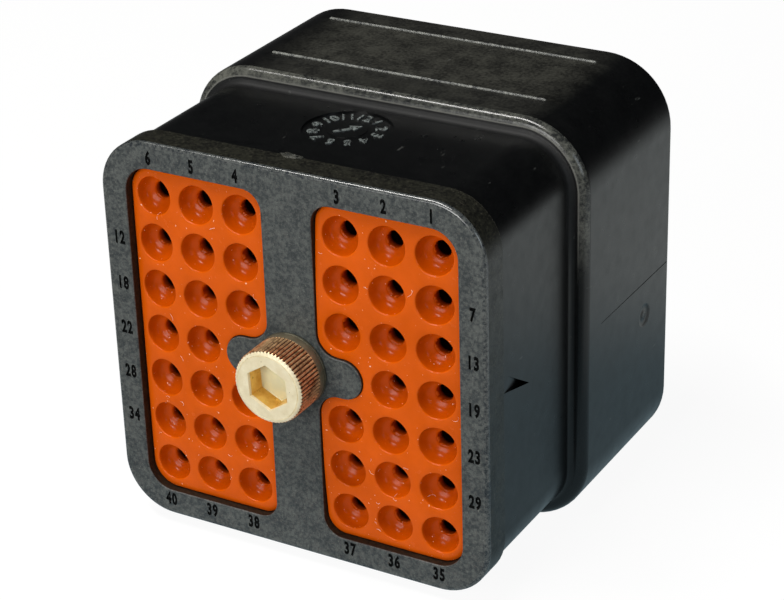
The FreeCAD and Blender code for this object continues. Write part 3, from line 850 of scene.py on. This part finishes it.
def notch_cutter():
    """The three-cornered notch. Its floor runs down from the front edge to the tip."""
    wall = BODY[0]
    outline = [(NOTCH_FRONT, 0.3), (NOTCH_FRONT + 0.75, 1.8), (NOTCH_FRONT + 5.2, -1.0)]
    mesh = bmesh.new()
    corners = [mesh.verts.new(place(wall, y, z)) for y, z in outline]
    outside = [mesh.verts.new(place(wall + 1.0, y, z)) for y, z in outline]
    deep = mesh.verts.new(place(wall - 1.0, *outline[-1]))
    for first, second in ((0, 1), (1, 2), (2, 0)):
        mesh.faces.new((corners[first], corners[second], outside[second], outside[first]))
        mesh.faces.new((corners[first], corners[second], deep))
    mesh.faces.new(outside)
    return finish_mesh(mesh, "notch", [SHELL])


def bold_shape(label):
    """A label's filled outline in millimetres, without overlaps: its points and its triangles."""
    data = characters(label, NUMBER_SIZE, NUMBER_BOLD, 3, spacing=1.2)
    points = [Vector((NUMBER_WIDTH * vert.co.x, vert.co.y)) for vert in data.vertices]
    faces = []
    for face in data.polygons:
        first, second, third = (points[index] for index in face.vertices)
        turn = (second - first).cross(third - first)
        if abs(turn) > 1e-6:
            faces.append(list(face.vertices) if turn > 0 else list(reversed(face.vertices)))
    found = delaunay_2d_cdt(points, [], faces, 0, 1e-4)
    kept = [triangle for triangle, sources in zip(found[2], found[5]) if sources]
    return found[0], kept


def number_cutter():
    """The cavity numbers, bold and condensed, as one set of thin solids standing in the retainer's face."""
    labels = []
    columns = [INNER_COLUMN + PITCH * step for step in range(COLUMNS_PER_SIDE)]
    for number, x in zip((6, 5, 4, 3, 2, 1), [-x for x in reversed(columns)] + columns):
        labels.append((str(number), x + 0.16, NUMBERS_TOP))
        labels.append((str(number + 34), 1.012 * x, NUMBERS_BOTTOM))
    for row, left, right in zip(range(2, -3, -1), (12, 18, 22, 28, 34), (7, 13, 19, 23, 29)):
        labels.append((str(left), NUMBERS_LEFT, row * PITCH))
        labels.append((str(right), NUMBERS_RIGHT, row * PITCH + 0.15))
    mesh = bmesh.new()
    for label, x, z in labels:
        points, triangles = bold_shape(label)
        levels = []
        for y in (RETAINER_FACE - 0.2, RETAINER_FACE + NUMBER_DEPTH):
            levels.append([mesh.verts.new(place(x + point.x, y, z + point.y)) for point in points])
        used = {}
        for triangle in triangles:
            for level in levels:
                mesh.faces.new([level[index] for index in triangle])
            for first, second in zip(triangle, triangle[1:] + triangle[:1]):
                used.setdefault(frozenset((first, second)), []).append((first, second))
        for (first, second), in (runs for runs in used.values() if len(runs) == 1):
            mesh.faces.new([levels[0][first], levels[0][second], levels[1][second], levels[1][first]])
    loose = [vert for vert in mesh.verts if not vert.link_faces]
    bmesh.ops.delete(mesh, geom=loose, context="VERTS")
    # The cutter's near-black material stays on the recesses as painted shade.
    return finish_mesh(mesh, "numbers", [RECESS_SHADE])


def gate_scar():
    """The torn stub of the moulding gate on the plate's top rear edge."""
    rings = []
    for level in range(1, 10):
        lean = math.pi * level / 10
        ring = []
        for step in range(28):
            turn = math.tau * step / 28
            way = Vector((math.cos(lean), math.sin(lean) * math.cos(turn), math.sin(lean) * math.sin(turn)))
            size = 1.0 + 0.5 * noise.noise(way * 2.6) + 0.25 * noise.noise(way * 7.0)
            spot = [middle + half * size * part for middle, half, part in zip(SCAR_PLACE, SCAR_SIZE, way)]
            ring.append(spot)
        rings.append(ring)
    return solid("scar", rings, SCAR)


def build_retainer():
    """The cap: plate with rounded edges, two windows, engraved numbers and the spigot behind."""
    edge, flare = RETAINER_EDGE, WINDOW_FLARE
    mesh = bmesh.new()
    sections = []
    for step in range(7):
        turn = math.radians(90 * step / 6)
        inset = edge - edge * math.sin(turn)
        sections.append((RETAINER, inset, RETAINER_FACE + edge - edge * math.cos(turn)))
    sections += [(RETAINER, 0.0, SEAM - 0.12), (RETAINER, 0.04, SEAM - 0.04), (RETAINER, 0.12, SEAM),
                 (SPIGOT, 0.0, SEAM), (SPIGOT, 0.0, SPIGOT_END - 0.2), (SPIGOT, 0.15, SPIGOT_END),
                 (SPIGOT_HOLE, 0.0, SPIGOT_END), (SPIGOT_HOLE, 0.0, SEAM)]
    rings = framed(mesh, sections)
    loft(mesh, rings[:7], 1)
    # Slot 2, on the plate's sides and the spigot, is the darker copy of the charcoal: painted shade.
    loft(mesh, rings[6:8], 2)
    # Slot 3, on the chamfer at the seam, is the paler copy: a painted highlight line.
    loft(mesh, rings[7:10], 3)
    loft(mesh, rings[9:], 2)
    mesh.faces.new(rings[0])
    mesh.faces.new(rings[-1])
    retainer = finish_mesh(mesh, "retainer", [CHARCOAL, CHARCOAL_EDGE, CHARCOAL_SHADED_SIDE, SEAM_HIGHLIGHT])
    for side in (-1, 1):
        mesh = bmesh.new()
        rings = [add_ring(mesh, window(side, -2 * flare), RETAINER_FACE - 1.0)]
        for step in range(-2, 6):
            turn = math.radians(90 * step / 5)
            inset = -flare + flare * math.sin(turn)
            rings.append(add_ring(mesh, window(side, inset), RETAINER_FACE + flare - flare * math.cos(turn)))
        rings.append(add_ring(mesh, window(side), SEAM + 1.0))
        loft(mesh, rings[:-1])
        # The deep walls take the dark brown, which is painted shade and painted orange bounce.
        bridge(mesh, rings[-2], rings[-1], 1)
        mesh.faces.new(rings[0])
        mesh.faces.new(rings[-1])
        combine(retainer, finish_mesh(mesh, "window", [CHARCOAL, WINDOW_WALL_SHADE]), "DIFFERENCE")
    bore = prism("bore", circle(0, 0, SHANK_BORE, 48), RETAINER_FACE - 1.0, SEAM + 1.0, CHARCOAL)
    combine(retainer, bore, "DIFFERENCE")
    combine(retainer, number_cutter(), "DIFFERENCE")
    attach(retainer, gate_scar())
    smooth(retainer)
    flatten_normals(retainer)
    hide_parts("grommet_retainer")
    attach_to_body(retainer, "housing")


def nearest(x, z, spots):
    return min(math.hypot(x - spot_x, z - spot_z) for spot_x, spot_z in spots)


def bowl_depth(radius):
    """The depth of a bowl's wall at a radius."""
    for (near, deep), (far, shallow) in zip(BOWL, BOWL[1:]):
        if radius <= far:
            return deep + (shallow - deep) * max(radius - near, 0.0) / (far - near)
    return 0.0


def distance_to(x, z, ring):
    """The distance from a point to a closed outline."""
    best = 1e9
    last_x, last_z = ring[-1]
    for next_x, next_z in ring:
        run_x, run_z = next_x - last_x, next_z - last_z
        share = ((x - last_x) * run_x + (z - last_z) * run_z) / max(run_x * run_x + run_z * run_z, 1e-9)
        share = min(max(share, 0.0), 1.0)
        best = min(best, math.hypot(x - last_x - share * run_x, z - last_z - share * run_z))
        last_x, last_z = next_x, next_z
    return best


def spread(ring, gap):
    """Points along a closed outline, about as far apart as the gap."""
    points = []
    last_x, last_z = ring[-1]
    for next_x, next_z in ring:
        count = max(int(math.hypot(next_x - last_x, next_z - last_z) / gap), 1)
        for step in range(count):
            share = step / count
            points.append((last_x + (next_x - last_x) * share, last_z + (next_z - last_z) * share))
        last_x, last_z = next_x, next_z
    return points


def pad_bulge(x, z):
    """How far the rubber stands forward between the screw and the outer columns, from 0 to 1."""
    across = 1 - min((abs(x) - INNER_COLUMN + WINDOW_ROOM) / PAD_REACH, 1.0) ** 4
    return max(across, 0.0) * max(1 - (z / PAD_HALF_HEIGHT) ** 4, 0.0) ** 1.5


def pad_depth(x, z, spots, outline):
    """A pad's face: bulged forward, rolled down at its edge, with a bowl round each bore."""
    bulge = pad_bulge(x, z)
    reach = nearest(x, z, spots)
    roll = 0.0
    if reach > 1.6:
        share = max(1 - distance_to(x, z, outline) / EDGE_ROLL, 0.0)
        roll = EDGE_DROP * (1 - 0.75 * bulge) * (1 - math.sqrt(1 - share * share))
    sunk = 0.05 + 0.12 * max((abs(x) - PAD_FLAT) / 4, 0.0) ** 2 - PAD_BULGE * bulge
    return sunk + bowl_depth(reach) + roll + 0.012 * noise.noise(Vector((x * 0.7, z * 0.7, 3.0)))


def pad_points(side, spots):
    """Where a pad's face gets its points: rings round each bore, lines along its edge, and a grid."""
    points = []
    for x, z in spots:
        for radius, _ in BOWL[1:]:
            points += circle(x, z, radius, BOWL_STEPS)
    for inset in (0.02, 0.06, 0.12, 0.2, 0.3, 0.45, 0.62):
        ring = spread(window(side, PAD_CLEARANCE + inset), 0.45)
        points += [point for point in ring if nearest(*point, spots) > 2.08]
    safe = window(side, PAD_CLEARANCE + 0.8)
    for column in range(22):
        for row in range(46):
            x = side * (INNER_COLUMN - 2.4 + PAD_GRID * column)
            z = (row - 22.5) * PAD_GRID
            if nearest(x, z, spots) > 2.2 and inside(x, z, safe):
                points.append((x, z))
    return points


def add_fibre(mesh, x, z, depth, slot):
    """A fine fibre of lint, lying on a pad."""
    turn = random.uniform(0, math.tau)
    bend = random.uniform(-1.5, 1.5)
    step = random.uniform(0.05, 0.16)
    thick = random.uniform(0.009, 0.017)
    last = None
    for _ in range(7):
        ring = []
        for corner in range(3):
            angle = math.tau * corner / 3
            lift = thick * math.cos(angle)
            aside = thick * math.sin(angle)
            ring.append(mesh.verts.new(place(x - aside * math.sin(turn), depth(x, z) - 0.6 * thick - lift,
                                             z + aside * math.cos(turn))))
        if last:
            bridge(mesh, last, ring, slot)
        else:
            mesh.faces.new(ring).material_index = slot
        last = ring
        x += step * math.cos(turn)
        z += step * math.sin(turn)
        turn += bend * 0.3
    mesh.faces.new(last).material_index = slot


def build_grommet():
    """The rubber block: two pads with bowls round the bores, a neck and a slab, as one closed surface."""
    mesh = bmesh.new()
    centres = cavity_centres()
    feet = []
    throats = []
    for side in (-1, 1):
        spots = [spot for spot in centres if spot[0] * side > 0]
        outline = window(side, PAD_CLEARANCE)

        def depth(x, z):
            return pad_depth(x, z, spots, outline)

        def on_pad(x, z):
            return nearest(x, z, spots) > BOWL[0][0] * 0.99 and inside(x, z, outline)

        border = add_ring(mesh, outline, [depth(x, z) for x, z in outline])
        holes = []
        for x, z in spots:
            ring = circle(x, z, BOWL[0][0], BOWL_STEPS)
            holes.append(add_ring(mesh, ring, [depth(*point) for point in ring]))
            # Slot 2, the darker rubber of the throats and the bowls, is painted shade.
            throat = [holes[-1]] + turned(mesh, THROAT, BOWL_STEPS, x, z)
            loft(mesh, throat, 2)
            throats.append(throat[-1])
        fill(mesh, [border] + holes, on_pad, pad_points(side, spots), depth,
             lambda x, z: 2 if nearest(x, z, spots) < BOWL_EDGE else 0)
        feet.append(add_ring(mesh, outline, SEAM))
        bridge(mesh, border, feet[-1])
        for _ in range(FIBRE_TRIES):
            x = side * random.uniform(INNER_COLUMN - 2.2, OUTER_COLUMN + 2.2)
            z = random.uniform(-OUTER_ROW - 2.2, OUTER_ROW + 2.2)
            if nearest(x, z, spots) > 2.1 and inside(x, z, window(side, 0.8)):
                add_fibre(mesh, x, z, depth, 1)

    neck = rounded(SPIGOT_HOLE, 0.1)
    boss = circle(0, 0, BOSS_RADIUS + 0.05, 48)
    pads = [window(side, PAD_CLEARANCE) for side in (-1, 1)]
    wall = framed(mesh, [(SPIGOT_HOLE, 0.1, SEAM), (SPIGOT_HOLE, 0.1, SPIGOT_END), (INSERT, 0.2, SPIGOT_END),
                         (INSERT, 0.0, SPIGOT_END + 0.2), (INSERT, 0.0, GROMMET_END - 0.3),
                         (INSERT, 0.3, GROMMET_END)])
    loft(mesh, wall)
    boss_front = add_ring(mesh, boss, SEAM)
    boss_back = add_ring(mesh, boss, GROMMET_END)
    bridge(mesh, boss_front, boss_back)
    fill(mesh, [wall[0], boss_front] + feet,
         lambda x, z: math.hypot(x, z) > BOSS_RADIUS and not any(inside(x, z, pad) for pad in pads)
         and inside(x, z, neck))
    fill(mesh, [wall[-1], boss_back] + throats,
         lambda x, z: math.hypot(x, z) > BOSS_RADIUS and nearest(x, z, centres) > THROAT[-1][0] * 0.99)
    grommet = finish_mesh(mesh, "grommet", [ORANGE, LINT, BOWL_SHADE_ORANGE], 50.0)
    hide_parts("wire_grommet")
    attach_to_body(grommet, "housing")


# Screw. Its head has one point each degree, which the hexagon's corners and the knurl's teeth share.
# Its shapes give a radius at a degree, and its slots follow the order of its metals.

SCREW_METALS = [FACE_METAL, HEX_FLOOR_PAINTED_LIGHT, HEX_METAL, KNURL_METAL, COLLAR_METAL, SHANK_METAL, VALLEY_SHADE_METAL]
IN_FACE, IN_FLOOR, IN_SOCKET, ON_RIB, ON_COLLAR, ON_SHANK, IN_VALLEY_SHADE = range(len(SCREW_METALS))


def plain(degree, radius):
    return radius


def hexagon(degree, across):
    return across / 2 / math.cos(math.radians((degree - HEX_TURN + 30) % 60 - 30))


def knurl(degree, limit):
    """The knurl's radius, cut back to the limit by the rim's chamfer."""
    return min(HEAD_RADIUS - TOOTH_DEPTH * (1 - TOOTH[degree % len(TOOTH)]), limit)


def knurl_slot(degree):
    """The valleys between the knurl's ribs have a darker metal, which is painted shade."""
    return IN_VALLEY_SHADE if degree % len(TOOTH) in (0, len(TOOTH) - 1) else ON_RIB


def head_ring(mesh, shape, size, y):
    points = []
    for degree in range(360):
        turn = math.radians(degree)
        radius = shape(degree, size)
        points.append((radius * math.cos(turn), radius * math.sin(turn)))
    return add_ring(mesh, points, y)


def build_screw():
    """The captive screw: knurled head with a hexagon socket, grooved shank and threaded tip."""
    mesh = bmesh.new()
    floor = HEAD_FACE + HEX_DEPTH
    collar = HEAD_BASE - HEAD_COLLAR
    # Each ring of the head: its shape, size and depth, and the slot of the faces before it
    head = [(hexagon, 3.7, floor + 0.02, IN_FLOOR), (hexagon, 3.94, floor - 0.06, IN_FLOOR),
            (hexagon, HEX_ACROSS_FLATS, floor - 0.2, IN_SOCKET),
            (hexagon, HEX_ACROSS_FLATS, HEAD_FACE + 0.3, IN_SOCKET),
            (hexagon, 4.04, HEAD_FACE + 0.1, IN_FACE), (hexagon, 4.12, HEAD_FACE, IN_FACE),
            (plain, 2.72, HEAD_FACE, IN_FACE),
            (plain, 3.22, HEAD_FACE, IN_FACE), (plain, 3.25, HEAD_FACE + 0.07, IN_FACE),
            (plain, 3.29, HEAD_FACE + 0.005, IN_FACE), (plain, 3.36, HEAD_FACE + 0.02, IN_FACE),
            (knurl, 3.5, HEAD_FACE + 0.1, IN_FACE), (knurl, 3.62, HEAD_FACE + 0.22, IN_FACE),
            (knurl, HEAD_RADIUS, HEAD_FACE + 0.32, knurl_slot),
            (knurl, HEAD_RADIUS, collar - 0.02, knurl_slot),
            (plain, HEAD_RADIUS - 0.01, collar, knurl_slot),
            (plain, HEAD_RADIUS, HEAD_BASE - 0.08, ON_COLLAR),
            (plain, 3.67, HEAD_BASE - 0.02, ON_COLLAR), (plain, 3.5, HEAD_BASE, ON_COLLAR)]
    rings = [head_ring(mesh, shape, size, y) for shape, size, y, _ in head]
    mesh.faces.new(rings[0]).material_index = IN_FLOOR
    for first, second, (_, _, _, slot) in zip(rings, rings[1:], head[1:]):
        bridge(mesh, first, second, slot)
    mesh.faces.new(rings[-1]).material_index = ON_COLLAR

    inner, outer = CLIP_GROOVE[2], SHANK_RADIUS
    ring_start, ring_end, ring_radius = RING_GROOVE
    shank = [(outer, HEAD_BASE - 0.2), (outer, ring_start), (ring_radius, ring_start),
             (ring_radius, ring_end), (outer, ring_end), (outer, CLIP_GROOVE[0]), (inner, CLIP_GROOVE[0]),
             (inner, CLIP_GROOVE[1]), (outer - 0.12, CLIP_GROOVE[1]), (outer, CLIP_GROOVE[1] + 0.1),
             (outer, THREAD[0]), (outer - 0.3, THREAD[0] + 0.25), (1.2, THREAD[0] + 0.25)]
    closed_loft(mesh, turned(mesh, shank, 72), ON_SHANK)
    add_thread(mesh)
    screw = finish_mesh(mesh, "screw", SCREW_METALS, 28.0)
    flatten_normals(screw)
    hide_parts("jackscrew")
    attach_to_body(screw, "screw")


def build_washer():
    """The thin washer under the screw's head, with rounded rims."""
    mesh = bmesh.new()
    rim, start, end = WASHER_RADIUS, HEAD_BASE, RETAINER_FACE
    profile = [(SHANK_BORE, start), (rim - 0.1, start), (rim - 0.03, start + 0.03), (rim, start + 0.09),
               (rim, end - 0.12), (rim - 0.06, end - 0.03), (rim - 0.16, end), (SHANK_BORE, end)]
    loft(mesh, turned(mesh, profile, 96), closed=True)
    washer = finish_mesh(mesh, "head_ring_washer", [WASHER_STEEL])
    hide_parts("head_washer")
    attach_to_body(washer, "screw_carriage")


def add_thread(mesh):
    """The tip's thread, as a spiral groove that runs out at both ends."""
    steps = 60
    start, end = THREAD
    count = int((end - start) / (THREAD_PITCH / 8))
    rings = []
    for level in range(count + 1):
        y = start + (end - start) * level / count
        points = []
        for step in range(steps):
            phase = (y / THREAD_PITCH - step / steps) % 1.0
            tooth = min(max(2.2 * abs(phase - 0.5) * 2 - 0.6, 0.0), 1.0)
            radius = SHANK_RADIUS - THREAD_DEPTH * (1 - tooth)
            radius = min(radius, SHANK_RADIUS - 0.3 + (y - start) * 1.2, SHANK_RADIUS - 0.5 + (end - y))
            turn = math.tau * step / steps
            points.append((radius * math.cos(turn), radius * math.sin(turn)))
        rings.append(add_ring(mesh, points, y))
    closed_loft(mesh, rings, ON_SHANK)


def build_socket_insert():
    """The block at the mating face: flange, nose with a soft edge, forty lead-in mouths and the well."""
    mesh = bmesh.new()
    centres = cavity_centres()
    wall = framed(mesh, [(INSERT, 0.0, RETENTION_END), (INSERT, 0.0, FLANGE_END), (NOSE, 0.0, FLANGE_END),
                         (NOSE, 0.0, INSERT_FACE - 0.5), (NOSE, 0.12, INSERT_FACE - 0.34),
                         (NOSE, 0.34, INSERT_FACE - 0.12), (NOSE, 0.5, INSERT_FACE)])
    loft(mesh, wall)
    pin_hole = [(radius, INSERT_FACE - depth) for radius, depth in PIN_MOUTH]
    pin_hole.append((PIN_MOUTH[-1][0], RETENTION_END))
    fronts = []
    backs = []
    for x, z in centres:
        rings = turned(mesh, pin_hole, 32, x, z)
        loft(mesh, rings)
        fronts.append(rings[0])
        backs.append(rings[-1])
    profile = [(WELL_RADIUS + wider, INSERT_FACE - depth) for wider, depth in WELL_MOUTH]
    profile += [(WELL_RADIUS, WELL_BOTTOM), (SHANK_BORE, WELL_BOTTOM), (SHANK_BORE, RETENTION_END)]
    well = turned(mesh, profile, 64)
    loft(mesh, well)
    fill(mesh, [wall[-1], well[0]] + fronts,
         lambda x, z: math.hypot(x, z) > WELL_RADIUS + 0.29 and nearest(x, z, centres) > 1.08)
    fill(mesh, [wall[0], well[-1]] + backs,
         lambda x, z: math.hypot(x, z) > SHANK_BORE * 0.99 and nearest(x, z, centres) > 0.94)
    insert = finish_mesh(mesh, "socket_block", [INSERT_PLASTIC])
    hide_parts("socket_insert")
    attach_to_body(insert, "housing")


def build_seal():
    """The ring on the trench's floor, with two rounded ribs."""
    inner = [value + 0.05 for value in NOSE]
    outer = [value - 0.05 for value in SKIRT_CAVITY]
    base = SHOULDER_END + 1.1
    top = base + 0.9
    section = [(inner, 0.0, SHOULDER_END), (inner, 0.0, base - 0.15), (inner, -0.06, base - 0.04)]
    for near, far in ((2.24, 1.64), (1.12, 0.52)):
        middle = (near + far) / 2
        section += [(outer, near + 0.1, base), (outer, near, base + 0.1), (outer, near - 0.04, top - 0.3),
                    (outer, middle + 0.15, top - 0.06), (outer, middle, top),
                    (outer, middle - 0.15, top - 0.06), (outer, far + 0.04, top - 0.3),
                    (outer, far, base + 0.1), (outer, far - 0.1, base)]
    section += [(outer, 0.06, base - 0.04), (outer, 0.0, base - 0.15), (outer, 0.0, SHOULDER_END)]
    mesh = bmesh.new()
    loft(mesh, framed(mesh, section), closed=True)
    seal = finish_mesh(mesh, "face_seal", [SEAL_ORANGE])
    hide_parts("perimeter_seal")
    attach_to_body(seal, "housing")


random.seed(7)
build_room()
build_shell()
build_retainer()
build_grommet()
build_screw()
build_washer()
build_socket_insert()
build_seal()

for name, material in (("contact_retention_insert", INSERT_PLASTIC), ("clip_washer", STEEL),
                       ("jackscrew_seal_ring", RING_RUBBER), ("retaining_clip", STEEL)):
    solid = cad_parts[name]
    solid.data.materials.clear()
    solid.data.materials.append(material)
